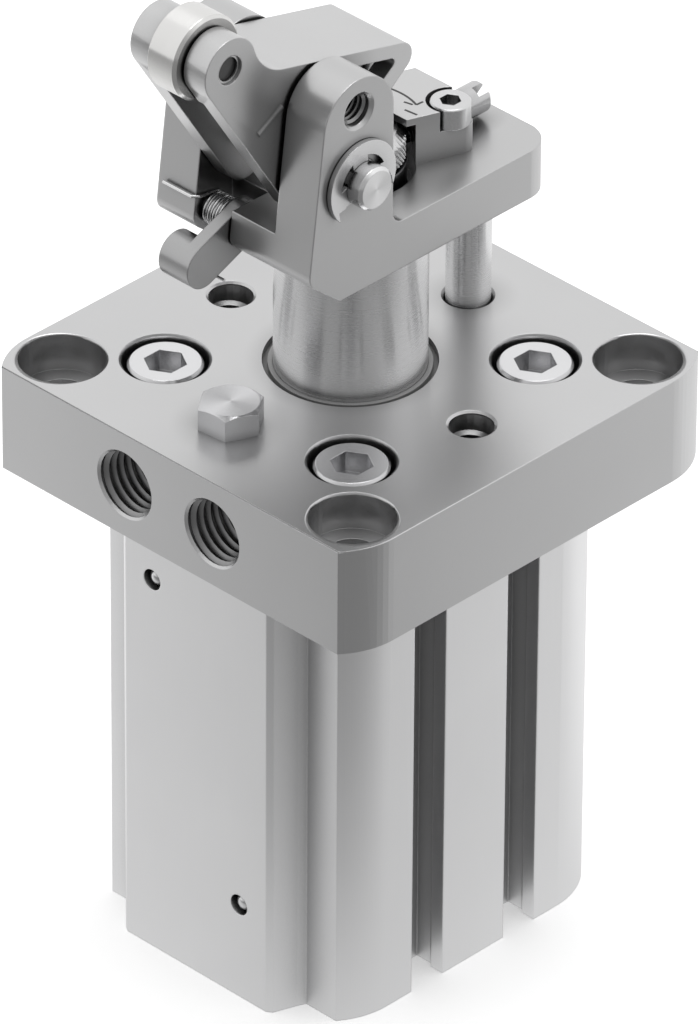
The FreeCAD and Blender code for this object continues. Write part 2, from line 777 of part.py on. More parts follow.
def lever_outline():
    """Side outline of the lever and the top line's direction."""
    slope = math.radians(lever_top_slope)
    along = (math.cos(slope), -math.sin(slope))
    up = (math.sin(slope), math.cos(slope))
    boss = (roller_y, roller_z)
    foot = (lever_foot_y, lever_foot_z)
    tail = (lever_top_y - lever_tail_radius * up[0], lever_top_z - lever_tail_radius * up[1])
    front_run = (lever_top_y - lever_top_front_y) / along[0]
    front = (lever_top_front_y, lever_top_z - front_run * along[1])
    gap = (front[0] - boss[0], front[1] - boss[1])
    reach = gap[0] ** 2 + gap[1] ** 2 - boss_radius ** 2
    fillet = reach / (2 * (boss_radius - gap[0] * up[0] - gap[1] * up[1]))
    hollow = (front[0] + fillet * up[0], front[1] + fillet * up[1])
    share = boss_radius / (boss_radius + fillet)
    join = (boss[0] + (hollow[0] - boss[0]) * share, boss[1] + (hollow[1] - boss[1]) * share)
    foot_front, boss_front = tangent_points(foot, lever_foot_radius, boss, boss_radius)
    tail_low, foot_rear = tangent_points(tail, lever_tail_radius, foot, lever_foot_radius)
    tail_top = (lever_top_y, lever_top_z)
    return [
        [foot_front, boss_front],
        [boss_front, arc_mid(boss, boss_radius, boss_front, join, True), join],
        [join, arc_mid(hollow, fillet, join, front, False), front],
        [front, tail_top],
        [tail_top, arc_mid(tail, lever_tail_radius, tail_top, tail_low, True), tail_low],
        [tail_low, foot_rear],
        [foot_rear, arc_mid(foot, lever_foot_radius, foot_rear, foot_front, True), foot_front],
    ]


def make_toggle_lever():
    """Lever milled from one block: two webs under a sloping plate, with bosses for the roller's pin."""
    full = 2 * lever_half_width
    body = side_face(lever_outline(), -lever_half_width).extrude(X * full)
    body = body.fuse(cyl(lever_pivot_boss_radius, full, (-lever_half_width, pivot_y, pivot_z), X))
    inner = lever_half_width - web_thickness
    slope = math.radians(lever_top_slope)
    drop = lever_plate_thickness / math.cos(slope)

    def under(y):
        return lever_top_z - drop + (lever_top_y - y) * math.tan(slope)

    far = 3 * boss_radius
    front = roller_y - far
    rear = lever_top_y + far
    knee = lever_top_front_y - 2
    hollow = [(front, 0), (rear, 0), (rear, under(rear)), (knee, under(knee)), (front, under(knee))]
    body = body.cut(prism(hollow, X * 2 * inner, side(-inner)))
    pocket = lever_half_width - boss_thickness
    around = roller_radius + roller_pocket_gap
    body = body.cut(cyl(around, 2 * pocket, (-pocket, roller_y, roller_z), X))
    body = body.cut(window_cut(under))
    body = body.cut(cyl(roller_pin_radius + press_gap, full, (-lever_half_width, roller_y, roller_z), X))
    body = body.cut(cyl(pivot_radius + running_gap, full, (-lever_half_width, pivot_y, pivot_z), X))
    body = body.cut(cyl(lever_cross_hole_radius, full, (-lever_half_width, *lever_cross_hole), X))
    rib = rib_solid()
    body = body.fuse([rib, mirror_x(rib)]).removeSplitter()
    body.translate(Z * head_z)
    return body


def window_cut(under):
    """Three-sided window through both webs, under the rear of the plate."""
    r = window_corner_radius
    slope = math.radians(lever_top_slope)
    lines = lever_outline()
    low_start, low_end = lines[5]
    run = (low_end[0] - low_start[0], low_end[1] - low_start[1])
    length = math.hypot(*run)
    inward = (run[1] / length, -run[0] / length)
    shift = window_wall + r
    p0 = (low_start[0] + inward[0] * shift, low_start[1] + inward[1] * shift)
    rise = run[1] / run[0]
    top_drop = r / math.cos(slope)

    def low(y):
        return p0[1] + (y - p0[0]) * rise

    def high(y):
        return under(y) - top_drop

    y_rear = (high(0) - low(0)) / (rise + math.tan(slope))
    corners = [(window_front_y, high(window_front_y)),
               (y_rear, high(y_rear)),
               (window_front_y, low(window_front_y))]
    full = 2 * lever_half_width
    cut = prism(corners, X * full, side(-lever_half_width))
    for i, a in enumerate(corners):
        b = corners[(i + 1) % 3]
        cut = cut.fuse(cyl(r, full, (-lever_half_width, a[0], a[1]), X))
        dy, dz = b[0] - a[0], b[1] - a[1]
        size = math.hypot(dy, dz)
        ny, nz = -dz / size * r, dy / size * r
        band = [(a[0] - ny, a[1] - nz), (b[0] - ny, b[1] - nz),
                (b[0] + ny, b[1] + nz), (a[0] + ny, a[1] + nz)]
        cut = cut.fuse(prism(band, X * full, side(-lever_half_width)))
    return cut


def rib_solid():
    """Short raised rib on the outside of a web."""
    dy, dz = rib_to[0] - rib_from[0], rib_to[1] - rib_from[1]
    size = math.hypot(dy, dz)
    ny, nz = -dz / size * rib_width / 2, dy / size * rib_width / 2
    ends = [(rib_from[0] - ny, rib_from[1] - nz), (rib_to[0] - ny, rib_to[1] - nz),
            (rib_to[0] + ny, rib_to[1] + nz), (rib_from[0] + ny, rib_from[1] + nz)]
    return prism(ends, X * (rib_height + 0.5), side(lever_half_width - 0.5))


def make_roller():
    """Hardened roller with chamfered rims."""
    half = lever_half_width - boss_thickness - side_gap
    at = (-half, roller_y, head_z + roller_z)
    c = roller_chamfer
    body = cyl(roller_radius, 2 * (half - c), (-half + c, at[1], at[2]), X)
    rim = cone(roller_radius, roller_radius - c, c, (half - c, at[1], at[2]), X)
    body = body.fuse([rim, mirror_x(rim)]).removeSplitter()
    bore = roller_pin_radius + roller_bush_wall
    return body.cut(cyl(bore, 2 * half, at, X))


def make_roller_bush():
    """Bearing bush pressed into the roller."""
    half = lever_half_width - boss_thickness - side_gap
    outer = roller_pin_radius + roller_bush_wall - press_gap
    return tube(outer, roller_pin_radius + running_gap, 2 * half, (-half, roller_y, head_z + roller_z), X)


def make_roller_pin():
    """Pin that the roller turns on, set back in the bosses."""
    half = lever_half_width - roller_pin_recess
    return cyl(roller_pin_radius, 2 * half, (-half, roller_y, head_z + roller_z), X)


def make_roller_pin_rings():
    """Snap rings that keep the roller's pin between the bosses."""
    x = lever_half_width - roller_pin_recess + seat_gap
    ring = tube(roller_pin_radius, roller_pin_radius - ring_wire, ring_wire,
                (x, roller_y, head_z + roller_z), X)
    return Part.makeCompound([ring, mirror_x(ring)])


# Shock absorber

def make_absorber_body():
    """Shock absorber's body in the hollow rod, with the neck that carries the adjusting ring."""
    bottom = absorber_collar_z - absorber_length
    body = cyl(absorber_radius, absorber_length, (0, 0, bottom))
    neck_length = absorber_neck_top - absorber_collar_z
    body = body.fuse(cyl(absorber_neck_radius, neck_length, (0, 0, absorber_collar_z)))
    body = body.removeSplitter()
    travel = plunger_drop() + 1.0
    well = absorber_neck_top + plunger_tail + travel
    body = body.cut(cyl(plunger_radius + running_gap, well, (0, 0, absorber_neck_top - well)))
    body.translate(Z * head_z)
    return body


def tip_centre(swing):
    """Height of the centre of the plunger's round tip that just clears the swung lever."""
    slope = math.radians(lever_top_slope)
    drop = lever_plate_thickness / math.cos(slope)
    y = lever_top_y - pivot_y
    z = lever_top_z - drop - pivot_z
    distance = y * math.sin(slope) + z * math.cos(slope)
    tilt = slope + math.radians(swing)
    line = distance / math.cos(tilt) + pivot_y * math.tan(tilt)
    return pivot_z + line - (plunger_button_radius + side_gap) / math.cos(tilt)


def plunger_drop():
    """How far the lever's full swing pushes the plunger in."""
    return tip_centre(0) - tip_centre(lever_swing)


def make_absorber_plunger():
    """Plunger with a round button under the lever's plate."""
    centre = tip_centre(0)
    low = centre - plunger_button_height
    rod_low = absorber_neck_top - plunger_tail
    body = cyl(plunger_radius, low - rod_low, (0, 0, rod_low))
    body = body.fuse(cyl(plunger_button_radius, plunger_button_height, (0, 0, low)))
    ball = Part.makeSphere(plunger_button_radius, V(0, 0, centre))
    body = body.fuse(ball).removeSplitter()
    body.translate(Z * head_z)
    return body


def make_adjusting_ring():
    """Ring that sets the damping: knurled below, conical above."""
    height = ring_knurl_top_z - ring_bottom_z
    body = cyl(ring_radius - knurl_depth, height, (0, 0, ring_bottom_z))
    pitch = 2 * math.pi * ring_radius / knurl_count
    root = ring_radius - 2 * knurl_depth
    tooth = [(root, -pitch * 0.42), (ring_radius, 0), (root, pitch * 0.42)]
    ridge = prism(tooth, Z * height, plan(ring_bottom_z))
    ridges = []
    for i in range(knurl_count):
        copy = ridge.copy()
        copy.rotate(V(0, 0, 0), Z, 360.0 * i / knurl_count)
        ridges.append(copy)
    body = body.fuse(ridges)
    top = cone(ring_radius - knurl_depth, ring_top_radius,
               ring_top_z - ring_knurl_top_z, (0, 0, ring_knurl_top_z))
    body = body.fuse(top).removeSplitter()
    body = body.cut(cyl(absorber_neck_radius + running_gap, ring_top_z, (0, 0, ring_bottom_z)))
    body.translate(Z * head_z)
    return body


def make_adjuster_block():
    """Block over the adjusting ring: slanted sides, a thin plate in front and a notch for its screw."""

    def outline(front):
        near = [block_plate_front_x + (y - block_plate_front_y) * block_side_slope
                for y in (front, block_rear_y)]
        return [(near[0] - block_width, front), (near[0], front),
                (near[1], block_rear_y), (near[1] - block_width, block_rear_y)]

    low = head_base_thickness
    body = prism(outline(block_front_y), Z * (block_plate_z - low), plan(low))
    body = body.cut(cyl(head_bore_radius, block_plate_z - low, (0, 0, low)))
    plate = prism(outline(block_plate_front_y), Z * (block_top_z - block_plate_z), plan(block_plate_z))
    body = body.fuse(plate).removeSplitter()
    rear = [e for e in body.Edges if is_rear_corner(e)]
    body = body.makeFillet(block_rear_radius, rear)
    body = body.cut(cyl(block_notch_radius, block_top_z, (block_screw_x, block_screw_y, block_notch_z)))
    body = body.cut(cyl(m3_thread + 0.15, block_top_z, (block_screw_x, block_screw_y, 0)))
    stem = spindle_stem_radius + running_gap
    body = body.cut(cyl(stem, block_rear_y, (spindle_x, 0, spindle_z), Y))
    body.translate(Z * head_z)
    return body


def is_rear_corner(edge):
    """True for the upright edge at the near back corner of the block."""
    ends = [v.Point for v in edge.Vertexes]
    if len(ends) != 2 or abs(ends[0].z - ends[1].z) < 1:
        return False
    return all(abs(p.y - block_rear_y) < 0.01 and p.x > 0 for p in ends)


def make_block_screw():
    """Small cap screw that holds the block."""
    length = block_notch_z - head_base_thickness + 5.5
    at = (block_screw_x, block_screw_y, head_z + block_notch_z)
    return socket_screw(m3_thread, length, m3_head_radius, m3_head_height, m3_socket, at)


def make_slotted_spindle():
    """Spindle behind the block, turned with a screwdriver; its stem reaches the adjusting ring."""
    start = block_rear_y + seat_gap
    straight = spindle_end_y - spindle_chamfer - start
    body = cyl(spindle_radius, straight, (spindle_x, start, spindle_z), Y)
    tip = cone(spindle_radius, spindle_radius - spindle_chamfer, spindle_chamfer,
               (spindle_x, start + straight, spindle_z), Y)
    stem_start = math.sqrt(ring_radius ** 2 - (spindle_x - spindle_stem_radius) ** 2) + side_gap
    stem = cyl(spindle_stem_radius, start - stem_start, (spindle_x, stem_start, spindle_z), Y)
    body = body.fuse([tip, stem]).removeSplitter()
    half = spindle_slot_width / 2
    slot = block((spindle_x - half, spindle_end_y - spindle_slot_depth, spindle_z - 3),
                 (spindle_x + half, spindle_end_y + 1, spindle_z + 3))
    body = body.cut(rotate_about(slot, (spindle_x, 0, spindle_z), Y, spindle_slot_turn))
    body.translate(Z * head_z)
    return body


# Latch pawl, its pin and spring

def make_latch_pawl():
    """Pawl: a flat arm on the pin, with a wide round nose in front of the fork."""
    left = pawl_right - pawl_nose_width
    arm_left = pawl_right - pawl_arm_thickness
    nose = (pawl_nose_y, pawl_nose_z)
    eye = (pawl_pin_y, pawl_pin_z)
    body = cyl(pawl_nose_radius, pawl_nose_width, (left, *nose), X)
    low = tangent_points(eye, pawl_eye_radius, nose, pawl_nose_radius)
    high = tangent_points(nose, pawl_nose_radius, eye, pawl_eye_radius)
    arm = prism([low[0], low[1], high[0], high[1]], X * pawl_arm_thickness, side(arm_left))
    body = body.fuse([arm, cyl(pawl_eye_radius, pawl_arm_thickness, (arm_left, *eye), X)]).removeSplitter()
    body = body.cut(cyl(pawl_pin_radius + running_gap, pawl_arm_thickness, (arm_left, *eye), X))
    body.translate(Z * head_z)
    return body


def make_pawl_pin():
    """Pin pressed across the fork, through the spring and the pawl."""
    length = head_half_width + pawl_pin_depth - 0.2
    return cyl(pawl_pin_radius, length, (-head_half_width, pawl_pin_y, head_z + pawl_pin_z), X)


def make_torsion_spring():
    """Torsion spring round the pawl's pin, with one leg on the fork's ear and one under the pawl."""
    half = spring_wire / 2
    start_x = -ear_gap_half + half + 0.1
    end_x = pawl_right - pawl_arm_thickness - half - 0.1
    bend = 0.7
    hook_z = pawl_nose_z - pawl_nose_radius - 0.1
    path = [V(pawl_right + 0.5, spring_hook_y, hook_z), V(pawl_right - 0.8, spring_hook_y, hook_z),
            V(end_x + bend, spring_hook_y, hook_z), V(end_x, spring_hook_y + bend, hook_z + bend / 2),
            V(end_x, spring_hook_y + 3 * bend, pawl_pin_z - spring_radius - 1.5 * bend)]
    steps = round(spring_turns * spring_steps)
    for i in range(steps + 1):
        turn = math.radians(360 * spring_turns * i / steps - 90)
        path.append(V(end_x + (start_x - end_x) * i / steps,
                      pawl_pin_y + spring_radius * math.cos(turn),
                      pawl_pin_z + spring_radius * math.sin(turn)))
    leg_z = beam_top - 0.6
    leg_y = front_foot_y + (leg_z - front_foot_z) * spring_leg_lean - half - spring_leg_gap
    path += [V(start_x, pawl_pin_y - bend, pawl_pin_z + spring_radius + 0.1),
             V(start_x, leg_y + bend, leg_z),
             V(start_x - bend, leg_y, leg_z),
             V(start_x - 3 * bend, leg_y, leg_z),
             V(spring_leg_end_x, leg_y, leg_z)]
    body = bent_wire(path, half)
    body.translate(Z * head_z)
    return body


def bent_wire(path, radius):
    """Solid wire along a line of points, with flat sides."""
    rings = []
    normal = Z
    for i, point in enumerate(path):
        ahead = path[min(i + 1, len(path) - 1)] - path[max(i - 1, 0)]
        ahead.normalize()
        normal = normal - ahead * normal.dot(ahead)
        normal.normalize()
        across = ahead.cross(normal)
        turns = [2 * math.pi * k / spring_sides for k in range(spring_sides)]
        rings.append([point + normal * radius * math.cos(t) + across * radius * math.sin(t) for t in turns])
    faces = []
    for a, b in zip(rings, rings[1:]):
        for k in range(spring_sides):
            n = (k + 1) % spring_sides
            faces.append((a[k], a[n], b[n]))
            faces.append((a[k], b[n], b[k]))
    for ring in (rings[0], rings[-1]):
        faces += [(ring[0], ring[k], ring[k + 1]) for k in range(1, spring_sides - 1)]
    shell = Part.Shell([Part.Face(Part.makePolygon([a, b, c, a])) for a, b, c in faces])
    return Part.makeSolid(shell)


pieces = {
    "barrel": make_barrel,
    "sealing_balls": make_sealing_balls,
    "flange_cap": make_flange,
    "spigot_oring": make_spigot_oring,
    "flange_screws": make_flange_screws,
    "hex_screw": make_hex_screw,
    "rod_wiper": make_rod_wiper,
    "rod_bush": make_rod_bush,
    "guide_bush": make_guide_bush,
    "end_cap": make_end_cap,
    "end_cap_oring": make_end_cap_oring,
    "end_cap_circlip": make_end_cap_circlip,
    "piston": make_piston,
    "piston_seals": make_piston_seals,
    "magnet_ring": lambda: groove_ring(1, piston_radius),
    "piston_screw": make_piston_screw,
    "piston_rod": make_piston_rod,
    "guide_rod": make_guide_rod,
    "fork_head": make_fork_head,
    "pivot_pin": make_pivot_pin,
    "pivot_clips": make_pivot_clips,
    "toggle_lever": make_toggle_lever,
    "roller": make_roller,
    "roller_bush": make_roller_bush,
    "roller_pin": make_roller_pin,
    "roller_pin_rings": make_roller_pin_rings,
    "absorber_body": make_absorber_body,
    "absorber_plunger": make_absorber_plunger,
    "adjusting_ring": make_adjusting_ring,
    "adjuster_block": make_adjuster_block,
    "block_screw": make_block_screw,
    "slotted_spindle": make_slotted_spindle,
    "latch_pawl": make_latch_pawl,
    "pawl_pin": make_pawl_pin,
    "torsion_spring": make_torsion_spring,
}

os.makedirs("parts", exist_ok=True)
for name, make in pieces.items():
    shape = make()
    box = shape.BoundBox
    print(f"{name:18} solids {len(shape.Solids)} valid {shape.isValid()} volume {shape.Volume:9.1f} "
          f"x {box.XMin:7.2f} {box.XMax:7.2f} y {box.YMin:7.2f} {box.YMax:7.2f} "
          f"z {box.ZMin:7.2f} {box.ZMax:7.2f}")
    shape.exportStep(f"parts/{name}.step")
print(f"plunger drop {plunger_drop():.3f} mm for {lever_swing} degrees")
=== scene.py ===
import math

import bmesh
import bpy
from mathutils import Matrix, Vector


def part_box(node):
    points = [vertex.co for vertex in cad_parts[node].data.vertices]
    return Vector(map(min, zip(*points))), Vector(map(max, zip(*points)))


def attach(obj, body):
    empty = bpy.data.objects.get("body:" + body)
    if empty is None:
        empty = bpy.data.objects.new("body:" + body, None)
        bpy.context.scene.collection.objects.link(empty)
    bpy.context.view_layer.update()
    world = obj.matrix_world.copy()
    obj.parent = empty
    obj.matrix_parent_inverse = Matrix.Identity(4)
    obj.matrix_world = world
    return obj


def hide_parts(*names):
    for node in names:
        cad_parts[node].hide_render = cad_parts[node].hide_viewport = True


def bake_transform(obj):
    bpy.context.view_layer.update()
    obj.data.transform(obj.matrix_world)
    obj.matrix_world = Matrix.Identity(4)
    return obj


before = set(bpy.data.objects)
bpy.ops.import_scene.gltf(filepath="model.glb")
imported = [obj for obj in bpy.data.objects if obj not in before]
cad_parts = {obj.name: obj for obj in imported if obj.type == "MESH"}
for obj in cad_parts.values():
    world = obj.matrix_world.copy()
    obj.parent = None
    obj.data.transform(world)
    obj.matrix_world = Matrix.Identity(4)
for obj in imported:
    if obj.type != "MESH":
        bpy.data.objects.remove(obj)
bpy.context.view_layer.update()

MM = 0.001

# The camera: a long lens at the photograph's angle.
# The aim is the flange's top on the rod's axis, shifted to its place in the 700 x 1024 frame.
flange_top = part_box("flange_cap")[1].z
camera_azimuth = 0.774311
camera_elevation = 0.585412
camera_roll = 0.0065222
aim_in_view = Vector((0.0550, 19.680, -1573.86)) * MM
focal_length = 430.87
back = Vector((math.sin(camera_azimuth) * math.cos(camera_elevation),
               -math.cos(camera_azimuth) * math.cos(camera_elevation),
               math.sin(camera_elevation)))
level = Vector((math.cos(camera_azimuth), math.sin(camera_azimuth), 0.0))
upright = back.cross(level)
right = level * math.cos(camera_roll) + upright * math.sin(camera_roll)
up = upright * math.cos(camera_roll) - level * math.sin(camera_roll)
turn = Matrix((right, up, back)).transposed()
lens = bpy.data.cameras.new("camera")
lens.sensor_width = 36.0
lens.lens = focal_length
lens.clip_start = 0.05
lens.clip_end = 50.0
camera = bpy.data.objects.new("camera", lens)
bpy.context.scene.collection.objects.link(camera)
camera_place = Vector((0, 0, flange_top)) - turn @ aim_in_view
camera.matrix_world = Matrix.Translation(camera_place) @ turn.to_4x4()
bpy.context.scene.camera = camera
bpy.context.scene.view_settings.view_transform = "Standard"

# The studio: a pale floor, a white surround and one large soft lamp above.
# The camera sees floor and surround as white, and the floor keeps the object's shadow.
# Bright metal mirrors a room that is light behind the object and darker in front of it.
floor_size = 6.0
floor_colour = (0.80, 0.80, 0.80, 1.0)
floor_lift = 0.40
floor_in_metal = ((0.0, 1.0), (0.22, 0.84), (0.29, 0.77), (0.41, 0.70),
                  (0.50, 0.62), (0.80, 0.34), (1.0, 0.28))
floor_in_metal_from = -0.04
floor_in_metal_to = 0.12
room_front = (0.7, -0.715, 0.0)
surround_back = 1.0
surround_front = 0.45
surround_fade_from = 0.2
surround_fade_to = 0.8
softbox_direction = (0.0, 0.12, 1.0)
softbox_distance = 0.8
softbox_size = 0.5
softbox_power = 2.0


def new_material(name):
    """A node material that is still empty, and its tree."""
    material = bpy.data.materials.new(name)
    material.use_nodes = True
    material.node_tree.nodes.clear()
    return material, material.node_tree


def link(tree, source, target):
    tree.links.new(source, target)


def seen_directly(tree, path):
    """1 where the camera sees a surface itself or through glass, 0 for the light that falls on others."""
    seen = tree.nodes.new("ShaderNodeMath")
    seen.operation = "MAXIMUM"
    link(tree, path.outputs["Is Camera Ray"], seen.inputs[0])
    link(tree, path.outputs["Is Transmission Ray"], seen.inputs[1])
    return seen.outputs[0]


def towards_front(tree, source):
    """How far a place or a direction lies towards the room's front."""
    ahead = tree.nodes.new("ShaderNodeVectorMath")
    ahead.operation = "DOT_PRODUCT"
    ahead.inputs[1].default_value = room_front
    link(tree, source, ahead.inputs[0])
    return ahead.outputs["Value"]


floor_mesh = bpy.data.meshes.new("floor")
bm = bmesh.new()
bmesh.ops.create_grid(bm, x_segments=2, y_segments=2, size=floor_size / 2)
bm.to_mesh(floor_mesh)
bm.free()
floor = bpy.data.objects.new("floor", floor_mesh)
bpy.context.scene.collection.objects.link(floor)
floor_material, tree = new_material("pale_floor")
paper = tree.nodes.new("ShaderNodeBsdfDiffuse")
paper.inputs["Color"].default_value = floor_colour
glow = tree.nodes.new("ShaderNodeEmission")
path = tree.nodes.new("ShaderNodeLightPath")
strength = tree.nodes.new("ShaderNodeMath")
strength.operation = "MULTIPLY"
strength.inputs[1].default_value = floor_lift
link(tree, seen_directly(tree, path), strength.inputs[0])
link(tree, strength.outputs[0], glow.inputs["Strength"])
both = tree.nodes.new("ShaderNodeAddShader")
link(tree, paper.outputs[0], both.inputs[0])
link(tree, glow.outputs[0], both.inputs[1])
place = tree.nodes.new("ShaderNodeTexCoord")
reach = tree.nodes.new("ShaderNodeMapRange")
reach.inputs["From Min"].default_value = floor_in_metal_from
reach.inputs["From Max"].default_value = floor_in_metal_to
link(tree, towards_front(tree, place.outputs["Object"]), reach.inputs["Value"])
falloff = tree.nodes.new("ShaderNodeValToRGB")
while len(falloff.color_ramp.elements) < len(floor_in_metal):
    falloff.color_ramp.elements.new(0.5)
for element, (position, grey) in zip(falloff.color_ramp.elements, floor_in_metal):
    element.position = position
    element.color = (grey, grey, grey, 1.0)
link(tree, reach.outputs[0], falloff.inputs["Fac"])
mirrored_floor = tree.nodes.new("ShaderNodeEmission")
link(tree, falloff.outputs["Color"], mirrored_floor.inputs["Color"])
choose = tree.nodes.new("ShaderNodeMixShader")
link(tree, path.outputs["Is Glossy Ray"], choose.inputs["Fac"])
link(tree, both.outputs[0], choose.inputs[1])
link(tree, mirrored_floor.outputs[0], choose.inputs[2])
out = tree.nodes.new("ShaderNodeOutputMaterial")
link(tree, choose.outputs[0], out.inputs["Surface"])
floor_mesh.materials.append(floor_material)

world = bpy.data.worlds.new("studio")
world.use_nodes = True
bpy.context.scene.world = world
tree = world.node_tree
surround = tree.nodes["Background"]
surround.inputs["Color"].default_value = (1.0, 1.0, 1.0, 1.0)
path = tree.nodes.new("ShaderNodeLightPath")
direction = tree.nodes.new("ShaderNodeTexCoord")
fade = tree.nodes.new("ShaderNodeMapRange")
fade.inputs["From Min"].default_value = surround_fade_from
fade.inputs["From Max"].default_value = surround_fade_to
fade.inputs["To Min"].default_value = surround_back
fade.inputs["To Max"].default_value = surround_front
link(tree, towards_front(tree, direction.outputs["Generated"]), fade.inputs["Value"])
brightness = tree.nodes.new("ShaderNodeMix")
brightness.inputs["B"].default_value = 1.0
link(tree, seen_directly(tree, path), brightness.inputs["Factor"])
link(tree, fade.outputs[0], brightness.inputs["A"])
link(tree, brightness.outputs["Result"], surround.inputs["Strength"])

softbox = bpy.data.lights.new("softbox_above", "AREA")
softbox.size = softbox_size
softbox.energy = softbox_power
lamp = bpy.data.objects.new("softbox_above", softbox)
aim = Vector(softbox_direction).normalized()
lamp.location = aim * softbox_distance + Vector((0, 0, flange_top))
lamp.rotation_euler = aim.to_track_quat("Z", "Y").to_euler()
bpy.context.scene.collection.objects.link(lamp)

# Barrel: an aluminium extrusion, drawn through a die and anodised.
# Its skin is satin, with faint lines along its length and a small break on every edge, and its grooves and
# corners are darkened with painted shade.


def satin(name, colour, roughness, grain, spread=0.06, bump=0.02, edge=0.25, stretch=(1, 1, 1),
          tone=0.03, crevice_shade=0.6, crevice_reach=5.0, own_crevices=False, metallic=1.0):
    """Satin surface: drifting tone, grain in its roughness and height, softened edges, and painted shade in
    crevices.

    The grain's size, the bump's height, the edge's radius and the painted shade's reach are in millimetres.
    Stretch draws the grain out along an axis. Own crevices keeps the painted shade to the piece's own
    surfaces, leaving out what other pieces cover.
    """
    material, tree = new_material(name)
    place = tree.nodes.new("ShaderNodeTexCoord")
    scale = tree.nodes.new("ShaderNodeMapping")
    scale.inputs["Scale"].default_value = [1.0 / (grain * MM * s) for s in stretch]
    link(tree, place.outputs["Object"], scale.inputs["Vector"])
    fine = tree.nodes.new("ShaderNodeTexNoise")
    fine.inputs["Scale"].default_value = 1.0
    fine.inputs["Detail"].default_value = 3.0
    link(tree, scale.outputs[0], fine.inputs["Vector"])
    broad = tree.nodes.new("ShaderNodeTexNoise")
    broad.inputs["Scale"].default_value = 60.0
    broad.inputs["Detail"].default_value = 2.0
    link(tree, place.outputs["Object"], broad.inputs["Vector"])
    shade = tree.nodes.new("ShaderNodeMapRange")
    shade.inputs["To Min"].default_value = 1.0 - tone
    shade.inputs["To Max"].default_value = 1.0 + tone
    link(tree, broad.outputs["Fac"], shade.inputs["Value"])
    # Painted shade: an occlusion lookup darkens the base colour where other surfaces are near, in crevices,
    # holes and gaps between parts.
    nearby = tree.nodes.new("ShaderNodeAmbientOcclusion")
    nearby.samples = 6
    nearby.only_local = own_crevices
    nearby.inputs["Distance"].default_value = crevice_reach * MM
    painted_shade = tree.nodes.new("ShaderNodeMapRange")
    painted_shade.inputs["From Min"].default_value = 0.3
    painted_shade.inputs["To Min"].default_value = 1.0 - crevice_shade
    painted_shade.inputs["To Max"].default_value = 1.0
    link(tree, nearby.outputs["AO"], painted_shade.inputs["Value"])
    level = tree.nodes.new("ShaderNodeMath")
    level.operation = "MULTIPLY"
    link(tree, shade.outputs[0], level.inputs[0])
    link(tree, painted_shade.outputs[0], level.inputs[1])
    tint = tree.nodes.new("ShaderNodeVectorMath")
    tint.operation = "SCALE"
    tint.inputs[0].default_value = colour
    link(tree, level.outputs[0], tint.inputs["Scale"])
    gloss = tree.nodes.new("ShaderNodeMapRange")
    gloss.inputs["To Min"].default_value = roughness - spread
    gloss.inputs["To Max"].default_value = roughness + spread
    link(tree, fine.outputs["Fac"], gloss.inputs["Value"])
    rounding = tree.nodes.new("ShaderNodeBevel")
    rounding.samples = 6
    rounding.inputs["Radius"].default_value = edge * MM
    height = tree.nodes.new("ShaderNodeBump")
    height.inputs["Strength"].default_value = 0.5
    height.inputs["Distance"].default_value = bump * MM
    link(tree, fine.outputs["Fac"], height.inputs["Height"])
    link(tree, rounding.outputs[0], height.inputs["Normal"])
    surface = tree.nodes.new("ShaderNodeBsdfPrincipled")
    surface.inputs["Metallic"].default_value = metallic
    link(tree, tint.outputs[0], surface.inputs["Base Color"])
    link(tree, gloss.outputs[0], surface.inputs["Roughness"])
    link(tree, height.outputs[0], surface.inputs["Normal"])
    out = tree.nodes.new("ShaderNodeOutputMaterial")
    link(tree, surface.outputs[0], out.inputs["Surface"])
    return material


def dress(material, *names):
    """Give CAD nodes a finish."""
    for name in names:
        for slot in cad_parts[name].material_slots:
            slot.material = material


barrel_finish = satin("barrel_anodised", (0.83, 0.83, 0.835), 0.36, 0.12, stretch=(1, 1, 90),
                      bump=0.012, edge=0.3, crevice_shade=0.72, crevice_reach=6.0, own_crevices=True)
dress(barrel_finish, "barrel")

# Sealing balls: two small bearing balls of polished steel.
# They are pressed into the mouths of the drilled air channels and close them.
ball_finish = satin("ball_steel", (0.80, 0.80, 0.81), 0.16, 0.6, edge=0.05)
dress(ball_finish, "sealing_balls")

# Flange: an aluminium plate, milled all over, with a finer and darker skin than the barrel's.
# It is shown as a copy of its solid, with shallower counterbores, a sharper edge, and its ports
# and threaded holes cut back to the roots of their threads. All sizes are in millimetres.
# Its colour is darkened with painted shade around the screws, around the rod and in its holes.
flange_finish = satin("flange_milled", (0.60, 0.60, 0.603), 0.30, 0.10, bump=0.008, edge=0.08,
                      crevice_shade=0.45, crevice_reach=4.0)
flange_top_z = flange_top / MM
flange_half = round(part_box("flange_cap")[1].x / MM, 2)
mount_hole_offset = 26.2
mount_counterbore_radius = 5.7
counterbore_in_solid = 6.8
counterbore_depth = 5.25
port_x = 7.9
port_z = 74.75
port_core = 4.3
port_thread_root = 4.86
port_side = -20.0
side_hole_offset = 21.7
side_hole_radius = 2.5
side_hole_mouth = 2.98
side_hole_mouth_depth = 0.3
side_hole_chamfer_reach = 1.2
edge_in_solid = 0.35
edge_shown = 0.1
edge_spread = (flange_half - edge_shown) / (flange_half - edge_in_solid)
edge_foot_from = 28.0
edge_top_from = 29.0
on_wall = 0.02
on_level = 0.01
direction_match = 0.99999
broad_face = 0.2


def merged_copy(node):
    """A CAD node's mesh with its doubled points merged, to be reshaped and shown in the node's place."""
    bm = bmesh.new()
    bm.from_mesh(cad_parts[node].data)
    bmesh.ops.remove_doubles(bm, verts=bm.verts, dist=0.002 * MM)
    return bm


